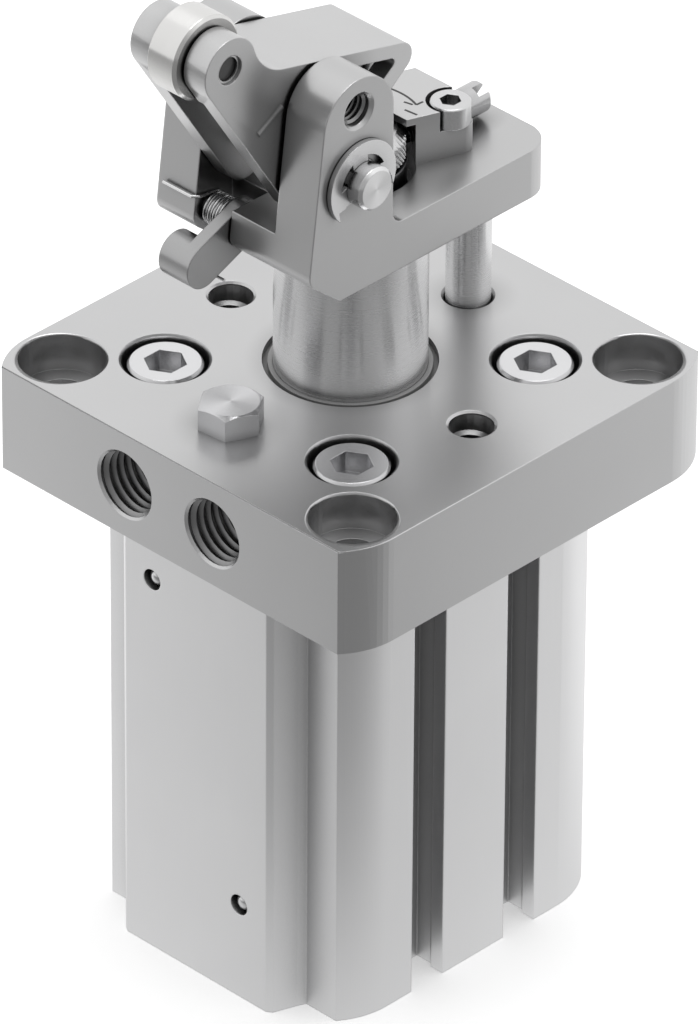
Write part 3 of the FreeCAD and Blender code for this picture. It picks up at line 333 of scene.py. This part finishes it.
def add_piece(name, bm, body, finish, sharp=30, replaced=None):
    """Turn a bmesh into a piece that rides on a body, smooth up to the sharp angle in degrees.

    Broad faces keep their own direction, and only the narrow ones beside them blend.
    A piece without a body is left without a parent.
    """
    bmesh.ops.recalc_face_normals(bm, faces=bm.faces)
    mesh = bpy.data.meshes.new(name)
    bm.to_mesh(mesh)
    bm.free()
    mesh.shade_smooth()
    mesh.set_sharp_from_angle(angle=math.radians(sharp))
    mesh.materials.append(finish)
    piece = bpy.data.objects.new(name, mesh)
    bpy.context.scene.collection.objects.link(piece)
    weighted = piece.modifiers.new("weighted_normals", "WEIGHTED_NORMAL")
    weighted.weight = 100
    weighted.keep_sharp = True
    if body:
        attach(piece, body)
    if replaced:
        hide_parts(replaced)
    return piece


bm = merged_copy("flange_cap")
for v in bm.verts:
    x, y, z = v.co / MM
    depth = flange_top_z - z
    outwards = max(abs(x), abs(y))
    from_mount = math.hypot(abs(x) - mount_hole_offset, abs(y) - mount_hole_offset)
    if from_mount < mount_counterbore_radius + on_wall and abs(depth - counterbore_in_solid) < on_level:
        v.co.z = flange_top - counterbore_depth * MM
    port_centre = math.copysign(port_x, x)
    from_port = math.hypot(x - port_centre, z - port_z)
    if y < port_side and abs(from_port - port_core) < on_wall:
        v.co.x = (port_centre + (x - port_centre) * port_thread_root / port_core) * MM
        v.co.z = (port_z + (z - port_z) * port_thread_root / port_core) * MM
    from_side_hole = math.hypot(abs(x) - side_hole_offset, y)
    if abs(from_side_hole - side_hole_radius) < on_wall and depth < side_hole_chamfer_reach:
        grow = side_hole_mouth / side_hole_radius
        v.co.x = math.copysign(side_hole_offset + (abs(x) - side_hole_offset) * grow, x) * MM
        v.co.y = y * grow * MM
        v.co.z = flange_top - side_hole_mouth_depth * MM
    if outwards > edge_foot_from and abs(depth - edge_in_solid) < on_level:
        v.co.z = flange_top - edge_shown * MM
    beside_mount = from_mount > mount_counterbore_radius + on_wall
    if outwards > edge_top_from and abs(depth) < on_level and beside_mount:
        v.co.x *= edge_spread
        v.co.y *= edge_spread
flange_piece = add_piece("flange_shown", bm, "barrel_unit", flange_finish,
                         sharp=20, replaced="flange_cap")
for polygon in flange_piece.data.polygons:
    square_on = max(abs(c) for c in polygon.normal) > direction_match
    if square_on and polygon.area > broad_face * MM ** 2:
        polygon.use_smooth = False

# Threads in the flange: cut with a tap, so that bright ridges run down each hole from its mouth.
# The two air ports have a fine pipe thread, and the two side holes a coarser one.
thread_finish = satin("thread_cut", (0.36, 0.36, 0.362), 0.30, 0.25, bump=0.006, edge=0.05)
port_pitch = 1.3
port_ridge = 0.56
port_thread_start = 0.1
port_thread_length = 8.2
side_thread_root = 2.85
side_pitch = 1.0
side_ridge = 0.6
side_thread_start = 2.4
side_thread_length = 8.5
thread_steps = 28
thread_bury = 0.06
thread_foot_share = 0.44
thread_crest_share = 0.07


def thread(name, centre, axis, radius, pitch, depth, length, body, finish):
    """Helical ridge on the wall of a hole, as a closed bar with a narrow crest. Sizes in millimetres."""
    turns = length / pitch
    along = Vector(axis).normalized()
    out = along.orthogonal().normalized()
    start = Vector(centre) + along * (pitch * 0.5)
    root = radius + thread_bury
    crest = radius - depth
    half = pitch * thread_foot_share
    land = pitch * thread_crest_share
    corners = [(root, -half), (crest, -land), (crest, land), (root, half)]
    bm = bmesh.new()
    ring = [bm.verts.new((start + out * r + along * a) * MM) for r, a in corners]
    face = bm.faces.new(ring)
    bmesh.ops.spin(bm, geom=[face] + ring + list(face.edges), cent=start * MM, axis=along,
                   dvec=along * (pitch / thread_steps * MM), angle=2 * math.pi * turns,
                   steps=round(thread_steps * turns), use_merge=False, use_duplicate=False)
    bmesh.ops.remove_doubles(bm, verts=bm.verts, dist=0.0001 * MM)
    return add_piece(name, bm, body, finish, sharp=35)


for name, x in (("port_thread_left", -port_x), ("port_thread_right", port_x)):
    thread(name, (x, -flange_half + port_thread_start, port_z), (0, 1, 0), port_thread_root,
           port_pitch, port_ridge, port_thread_length, "barrel_unit", thread_finish)
for name, x in (("flange_thread_left", -side_hole_offset), ("flange_thread_right", side_hole_offset)):
    thread(name, (x, 0, flange_top_z - side_thread_start), (0, 0, -1), side_thread_root,
           side_pitch, side_ridge, side_thread_length, "barrel_unit", thread_finish)

# Cap screws: four socket screws of bright plated steel that hold the flange on the barrel.
# Each head sits in its counterbore and was faced on the lathe, so its glint turns with its lay.
screw_finish = satin("screw_plated", (0.74, 0.74, 0.75), 0.2, 0.3, bump=0.002, edge=0.15,
                     crevice_shade=0.4, crevice_reach=2.0)
screw_offset = 16.8


def turned_round(material, axis, centre, mirrored=False, anisotropy=0.75, painted_sheen=0.0,
                 painted_sheen_direction=(1, 0, 0)):
    """Make a metal glint like a faced or turned one: its gloss is drawn out round an axis.

    The axis runs through the centre, in millimetres. Mirrored is set where four copies on both sides
    of the rod share the finish. A painted sheen brightens the colour in the two wedges of the lay along its
    direction, as a painted highlight.
    """
    tree = material.node_tree
    surface = next(n for n in tree.nodes if n.type == "BSDF_PRINCIPLED")
    place = tree.nodes.new("ShaderNodeTexCoord")
    vector = place.outputs["Object"]
    sign = None
    if mirrored:
        folded = tree.nodes.new("ShaderNodeVectorMath")
        folded.operation = "ABSOLUTE"
        link(tree, vector, folded.inputs[0])
        sign = tree.nodes.new("ShaderNodeVectorMath")
        sign.operation = "SIGN"
        link(tree, vector, sign.inputs[0])
        vector = folded.outputs[0]
    offset = tree.nodes.new("ShaderNodeVectorMath")
    offset.operation = "SUBTRACT"
    offset.inputs[1].default_value = [c * MM for c in centre]
    link(tree, vector, offset.inputs[0])
    radial = offset.outputs[0]
    if sign:
        unfold = tree.nodes.new("ShaderNodeVectorMath")
        unfold.operation = "MULTIPLY"
        link(tree, radial, unfold.inputs[0])
        link(tree, sign.outputs[0], unfold.inputs[1])
        radial = unfold.outputs[0]
    around = tree.nodes.new("ShaderNodeVectorMath")
    around.operation = "CROSS_PRODUCT"
    around.inputs[0].default_value = axis
    link(tree, radial, around.inputs[1])
    surface.inputs["Anisotropic"].default_value = anisotropy
    surface.inputs["Anisotropic Rotation"].default_value = 0.25
    link(tree, around.outputs[0], surface.inputs["Tangent"])
    if not painted_sheen:
        return
    # Painted sheen: the base colour is made lighter and darker by the lay's lean towards a fixed direction,
    # a painted highlight on two wedges.
    ray = tree.nodes.new("ShaderNodeVectorMath")
    ray.operation = "NORMALIZE"
    link(tree, around.outputs[0], ray.inputs[0])
    lean = tree.nodes.new("ShaderNodeVectorMath")
    lean.operation = "DOT_PRODUCT"
    lean.inputs[1].default_value = painted_sheen_direction
    link(tree, ray.outputs[0], lean.inputs[0])
    lobe = tree.nodes.new("ShaderNodeMath")
    lobe.operation = "POWER"
    lobe.inputs[1].default_value = 2.0
    link(tree, lean.outputs["Value"], lobe.inputs[0])
    level = tree.nodes.new("ShaderNodeMapRange")
    level.inputs["To Min"].default_value = 1.0 - painted_sheen
    level.inputs["To Max"].default_value = 1.0 + painted_sheen
    link(tree, lobe.outputs[0], level.inputs["Value"])
    colour = surface.inputs["Base Color"].links[0].from_socket
    painted_glint = tree.nodes.new("ShaderNodeVectorMath")
    painted_glint.operation = "SCALE"
    link(tree, colour, painted_glint.inputs[0])
    link(tree, level.outputs[0], painted_glint.inputs["Scale"])
    link(tree, painted_glint.outputs[0], surface.inputs["Base Color"])


turned_round(screw_finish, (0, 0, 1), (screw_offset, screw_offset, 0), mirrored=True, anisotropy=0.5)
dress(screw_finish, "flange_screws")

# Hexagon screw: plated steel with a faced top, screwed into the flange in front of the rod.
# The latch pawl meets its head when the rod comes down.
hex_finish = satin("hex_plated", (0.60, 0.60, 0.61), 0.24, 0.3, bump=0.002, edge=0.12,
                   crevice_shade=0.4, crevice_reach=1.5)


def middle(node):
    """Centre of a node's box, in millimetres."""
    low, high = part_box(node)
    return [round(c / MM, 2) for c in (low + high) / 2]


# The faced top gets a painted sheen: two wedges of the lay are brightened in its colour as a painted
# highlight.
turned_round(hex_finish, (0, 0, 1), middle("hex_screw"), anisotropy=0.85, painted_sheen=0.15,
             painted_sheen_direction=(0.94, 0.34, 0))
dress(hex_finish, "hex_screw")

# Rod wiper and seals: the wiper is a ring of hard grey plastic in the flange, which scrapes the rod.
# The O-rings and the piston's seals are black rubber, and lie in their grooves.
wiper_finish = satin("wiper_grey", (0.42, 0.42, 0.42), 0.34, 0.4, edge=0.1, crevice_shade=0.45,
                     crevice_reach=1.5, metallic=0.0)
dress(wiper_finish, "rod_wiper")
rubber_finish = satin("seal_rubber", (0.02, 0.02, 0.02), 0.55, 0.4, edge=0.1, metallic=0.0)
dress(rubber_finish, "spigot_oring", "end_cap_oring", "piston_seals")

# Piston rod and guide rod: hardened steel, ground and chromed, with faint rings from the wheel.
# The guide rod runs beside the piston rod and keeps the fork head from turning.
for node in ("piston_rod", "guide_rod"):
    rod_finish = satin(node + "_chromed", (0.76, 0.76, 0.765), 0.27, 0.15, spread=0.02,
                       stretch=(60, 60, 1), bump=0.001, edge=0.2, crevice_shade=0.3, crevice_reach=2.0)
    turned_round(rod_finish, (0, 0, 1), middle(node), anisotropy=0.9)
    dress(rod_finish, node)

# Pieces inside the barrel: the piston with its magnet and screw, the bushes and the end cap.
# Piston and cap are turned from aluminium, the bushes are bronze, and a black circlip holds the cap.
inner_finish = satin("inner_turned", (0.58, 0.58, 0.585), 0.3, 0.2, stretch=(40, 40, 1), bump=0.006)
dress(inner_finish, "piston", "end_cap")
bush_finish = satin("bush_bronze", (0.50, 0.36, 0.20), 0.35, 0.3)
dress(bush_finish, "rod_bush", "guide_bush", "roller_bush")
magnet_finish = satin("magnet_dark", (0.10, 0.10, 0.105), 0.5, 0.3)
dress(magnet_finish, "magnet_ring")
circlip_finish = satin("circlip_black", (0.12, 0.12, 0.12), 0.35, 0.3)
dress(circlip_finish, "end_cap_circlip")
dress(screw_finish, "piston_screw")

# Fork head: milled from one block of steel, with a fine satin grain, and carried by both rods.
# The lever swings between its two ears, and each ear has a small threaded hole from outside.
fork_finish = satin("fork_milled", (0.55, 0.55, 0.552), 0.30, 0.12, spread=0.02, bump=0.002, edge=0.25,
                    crevice_shade=0.45, crevice_reach=3.0)
dress(fork_finish, "fork_head")
ear_thread_finish = satin("ear_thread_cut", (0.48, 0.48, 0.482), 0.22, 0.25, bump=0.006, edge=0.05)
ear_thread_x = 13.2
ear_thread_y = -12.7
ear_thread_z = 131.3
ear_thread_root = 2.2
ear_pitch = 0.8
ear_ridge = 0.36
ear_thread_length = 5.2
for name, side in (("ear_thread_left", -1), ("ear_thread_right", 1)):
    thread(name, (side * ear_thread_x, ear_thread_y, ear_thread_z), (-side, 0, 0), ear_thread_root,
           ear_pitch, ear_ridge, ear_thread_length, "rod_unit", ear_thread_finish)

# Pivot pin and its clips: a ground steel pin through both ears and the lever, with turned ends.
# A sprung clip of plated strip holds it at each end. The roller's pin has small rings of the same strip.
pin_finish = satin("pin_ground", (0.76, 0.76, 0.765), 0.2, 0.3, bump=0.003, edge=0.15)
# Its turned ends get a painted sheen: two wedges of the lay are brightened in its colour as a painted
# highlight.
turned_round(pin_finish, (1, 0, 0), middle("pivot_pin"), painted_sheen=0.12, painted_sheen_direction=(0, 0.94, 0.34))
dress(pin_finish, "pivot_pin")
clip_finish = satin("clip_plated", (0.82, 0.82, 0.825), 0.26, 0.3, spread=0.03, bump=0.001, edge=0.1)
dress(clip_finish, "pivot_clips", "roller_pin_rings")

# Toggle lever: milled steel, a little brighter than the fork. It stops the carriers with its roller.
# It is shown as a copy of its solid, with its webs closed where the solid has a cross hole,
# and with a higher rib, wider at its foot, on the web towards +X.
lever_finish = satin("lever_milled", (0.60, 0.60, 0.602), 0.28, 0.12, spread=0.015, bump=0.001, edge=0.22)
cross_hole_y = -19.8
cross_hole_z = 125.5
cross_hole_radius = 1.7
cross_hole_match = 0.03
web_outside = 6.6
rib_in_solid = 0.2
rib_shown = 0.28
rib_start = Vector((-23.5, 129.5))
rib_along = Vector((4.2, 2.4)).normalized()
rib_reach = 5.0
rib_half = 0.4
rib_margin = 0.05
rib_foot_widened = 0.5
rib_top_narrowed = 0.3
bm = merged_copy("toggle_lever")


def on_cross_hole(v):
    from_axis = math.hypot(v.co.y / MM - cross_hole_y, v.co.z / MM - cross_hole_z)
    return abs(from_axis - cross_hole_radius) < cross_hole_match


wall = [f for f in bm.faces if all(on_cross_hole(v) for v in f.verts)]
bmesh.ops.delete(bm, geom=wall, context="FACES")
bmesh.ops.holes_fill(bm, edges=[e for e in bm.edges if e.is_boundary], sides=0)
for v in bm.verts:
    place = Vector((v.co.y, v.co.z)) / MM - rib_start
    along = place.dot(rib_along)
    across = rib_along.x * place.y - rib_along.y * place.x
    proud = v.co.x / MM - web_outside
    near_rib = abs(across) < rib_half + rib_margin and -rib_margin < along < rib_reach
    if proud < -on_level or not near_rib:
        continue
    on_top = abs(proud - rib_in_solid) < on_level
    shift = across * (-rib_top_narrowed if on_top else rib_foot_widened) * MM
    v.co.y -= rib_along.y * shift
    v.co.z += rib_along.x * shift
    if on_top:
        v.co.x = (web_outside + rib_shown) * MM
add_piece("lever_shown", bm, "lever_unit", lever_finish, replaced="toggle_lever")

# Roller on its pin: a hardened and ground ring, slightly warm in tone, that turns on a bush.
# The pin lies deep in the lever's holes, and its dark colour is painted shade for its shaded ends.
roller_finish = satin("roller_ground", (0.76, 0.755, 0.745), 0.24, 0.15, stretch=(1, 40, 40),
                      bump=0.003, edge=0.12)
turned_round(roller_finish, (1, 0, 0), middle("roller"), anisotropy=0.8)
dress(roller_finish, "roller")
# Painted shade: the pin's colour is set dark for the shade it lies in.
painted_shade_pin_finish = satin("pin_painted_shade", (0.13, 0.13, 0.13), 0.3, 0.3, bump=0.002, edge=0.1)
dress(painted_shade_pin_finish, "roller_pin")

# Shock absorber: a black steel body that stands in the hollow piston rod, with a bright plunger.
# The lever's plate pushes the plunger down when a carrier swings the lever.
absorber_finish = satin("absorber_dark", (0.22, 0.22, 0.225), 0.3, 0.3)
dress(absorber_finish, "absorber_body")
plunger_finish = satin("plunger_bright", (0.62, 0.62, 0.625), 0.18, 0.3)
dress(plunger_finish, "absorber_plunger")

# Adjusting ring: turned steel with a diamond knurl, screwed on the absorber's body to set its stroke.
# Two families of grooves cross on its rim, and a smooth cone closes it above.
ring_finish = satin("ring_turned", (0.66, 0.66, 0.665), 0.22, 0.3, spread=0.03, bump=0.001, edge=0.05)
ring_bottom = 113.3
ring_shoulder_z = 116.6
ring_top = 117.4
ring_bore = 3.93
ring_radius = 6.9
ring_foot_chamfer = 0.3
ring_shoulder_drop = 0.35
ring_top_radius = 5.7
ring_steps = 448
knurl_low = 113.55
knurl_high = 116.35
knurl_count = 56
knurl_depth = 0.22
knurl_rows = 28
knurl_flat = 0.2
on_rim = 0.001
rim = [(ring_radius, knurl_low + (knurl_high - knurl_low) * i / knurl_rows) for i in range(knurl_rows + 1)]
profile = [(ring_bore, ring_bottom), (ring_radius - ring_foot_chamfer, ring_bottom)] + rim
profile += [(ring_radius - ring_shoulder_drop, ring_shoulder_z), (ring_top_radius, ring_top),
            (ring_bore, ring_top)]
bm = bmesh.new()
points = [bm.verts.new((r * MM, 0, z * MM)) for r, z in profile]
edges = [bm.edges.new((points[i - 1], points[i])) for i in range(len(points))]
bmesh.ops.spin(bm, geom=points + edges, cent=(0, 0, 0), axis=(0, 0, 1), angle=2 * math.pi,
               steps=ring_steps, use_merge=True, use_duplicate=False)
knurl_pitch = 2 * math.pi * ring_radius / knurl_count
for v in bm.verts:
    radius = math.hypot(v.co.x, v.co.y) / MM
    if abs(radius - ring_radius) > on_rim:
        continue
    around = math.atan2(v.co.y, v.co.x) / (2 * math.pi) * knurl_count
    rise = (v.co.z / MM - knurl_low) / knurl_pitch
    groove = max(abs((around + rise) % 1 - 0.5), abs((around - rise) % 1 - 0.5)) * 2
    sunk = knurl_depth * max(0.0, (groove - knurl_flat) / (1 - knurl_flat))
    v.co.x *= (radius - sunk) / radius
    v.co.y *= (radius - sunk) / radius
add_piece("knurled_ring", bm, "ring", ring_finish, sharp=25, replaced="adjusting_ring")

# Adjuster block: milled steel, held on the fork head beside the adjusting ring by one small cap screw.
# A turned spindle with a slot for the screwdriver lies in it.
block_finish = satin("block_milled", (0.60, 0.60, 0.602), 0.32, 0.12, bump=0.008, edge=0.15)
dress(block_finish, "adjuster_block")
small_screw_finish = satin("small_screw_plated", (0.68, 0.68, 0.685), 0.2, 0.3, edge=0.15)
turned_round(small_screw_finish, (0, 0, 1), middle("block_screw"))
dress(small_screw_finish, "block_screw")
spindle_finish = satin("spindle_turned", (0.58, 0.58, 0.585), 0.26, 0.3, spread=0.03, bump=0.001, edge=0.06)
dress(spindle_finish, "slotted_spindle")

# Marks on the block's plate: an arc with an arrow tip and a short bar, engraved and darkened.
# They lie in the plate's face, and are shown as thin dark strips a hair above it.
mark_finish = satin("mark_dark", (0.09, 0.09, 0.09), 0.5, 0.2, bump=0.002, edge=0.02)
plate_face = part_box("adjuster_block")[1].z / MM
mark_width = 0.3
mark_height = 0.02
mark_radius = 8.9
arc_from = math.radians(104)
arc_to = math.radians(68)
arc_steps = 16
barb_out = Vector((0.08, 1.15))
barb_in_from = Vector((-0.35, -0.3))
barb_in_to = Vector((-1.6, -0.6))
bar_from = (3.14, 6.36)
bar_to = (5.1, 6.58)


def strip(name, ends, turned=None):
    """Thin dark strip along a line, or swept from its first point through an angle about the rod's axis."""
    start, end = (Vector((x, y, plate_face)) for x, y in ends)
    run = (end - start).normalized()
    side = Vector((-run.y, run.x, 0)) * mark_width / 2
    low = Vector((0, 0, -mark_height))
    high = Vector((0, 0, mark_height))
    bm = bmesh.new()
    if turned is None:
        corners = [start - side, start + side, end + side, end - side]
        face = bm.faces.new([bm.verts.new((c + low) * MM) for c in corners])
        raised = bmesh.ops.extrude_face_region(bm, geom=[face])["geom"]
        bmesh.ops.translate(bm, verts=[g for g in raised if isinstance(g, bmesh.types.BMVert)],
                            vec=(high - low) * MM)
    else:
        inner = start - run * mark_width / 2
        outer = start + run * mark_width / 2
        section = [inner + low, outer + low, outer + high, inner + high]
        face = bm.faces.new([bm.verts.new(c * MM) for c in section])
        bmesh.ops.spin(bm, geom=[face] + list(face.verts) + list(face.edges), cent=(0, 0, 0),
                       axis=(0, 0, 1), angle=turned, steps=arc_steps, use_merge=False,
                       use_duplicate=False)
    bmesh.ops.remove_doubles(bm, verts=bm.verts, dist=0.0001 * MM)
    return add_piece(name, bm, "rod_unit", mark_finish)


arc_start = Vector((math.cos(arc_from), math.sin(arc_from)))
arrow_tip = Vector((math.cos(arc_to), math.sin(arc_to))) * mark_radius
strip("mark_arc", (arc_start * mark_radius, arc_start * (mark_radius + 1)), turned=arc_to - arc_from)
strip("mark_barb_out", (arrow_tip, arrow_tip + barb_out))
strip("mark_barb_in", (arrow_tip + barb_in_from, arrow_tip + barb_in_to))
strip("mark_bar", (bar_from, bar_to))

# Latch pawl: a milled steel catch, darker than the fork head.
# It swings on a ground pin that is pressed into the fork head.
pawl_finish = satin("pawl_milled", (0.43, 0.43, 0.432), 0.30, 0.12, bump=0.006, edge=0.25)
dress(pawl_finish, "latch_pawl")
dress(pin_finish, "pawl_pin")

# Pawl spring: a torsion spring of round wire, wound on the pawl's pin.
# One leg lies on the far ear's front, and the other hooks under the pawl and turns with it.
spring_finish = satin("spring_wire", (0.84, 0.84, 0.845), 0.24, 0.3, spread=0.03, bump=0.001, edge=0.02)
wire_radius = 0.22
wire_bend = 0.7
coil_radius = 2.1
coil_turns = 8.5
coil_y, coil_z = middle("pawl_pin")[1:]
coil_from_x = -3.0
coil_to_x = -6.65
turn_steps = 24
hook_tip_x = -0.25
hook_under_x = -1.55
hook_y = -22.6
hook_z = 104.45
hook_riser = (coil_from_x, -20.5, 107.55)
leg_y = -21.4
leg_z = 113.3
leg_end_x = -12.4
route = [(hook_tip_x, hook_y, hook_z),
         (hook_under_x, hook_y, hook_z),
         (coil_from_x + wire_bend, hook_y, hook_z),
         (coil_from_x, hook_y + wire_bend, hook_z + wire_bend / 2),
         hook_riser]
coil_steps = round(coil_turns * turn_steps)
for i in range(coil_steps + 1):
    share = i / coil_steps
    angle = math.radians(-90) + 2 * math.pi * coil_turns * share
    route.append((coil_from_x + (coil_to_x - coil_from_x) * share,
                  coil_y + coil_radius * math.cos(angle),
                  coil_z + coil_radius * math.sin(angle)))
route += [(coil_to_x, leg_y + wire_bend, leg_z),
          (coil_to_x - wire_bend, leg_y, leg_z),
          (coil_to_x - 3 * wire_bend, leg_y, leg_z),
          (leg_end_x, leg_y, leg_z)]
line = bpy.data.curves.new("spring_line", "CURVE")
line.dimensions = "3D"
line.bevel_depth = wire_radius * MM
line.bevel_resolution = 3
line.use_fill_caps = True
spline = line.splines.new("POLY")
spline.points.add(len(route) - 1)
for point, place in zip(spline.points, route):
    point.co = [c * MM for c in place] + [1]
wire = bpy.data.objects.new("spring_line", line)
bpy.context.scene.collection.objects.link(wire)
bpy.context.view_layer.update()
mesh = bpy.data.meshes.new_from_object(wire.evaluated_get(bpy.context.evaluated_depsgraph_get()))
bpy.data.objects.remove(wire)
bm = bmesh.new()
bm.from_mesh(mesh)
bmesh.ops.remove_doubles(bm, verts=bm.verts, dist=0.0001 * MM)
spring = add_piece("wound_spring", bm, None, spring_finish, replaced="torsion_spring")
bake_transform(spring)
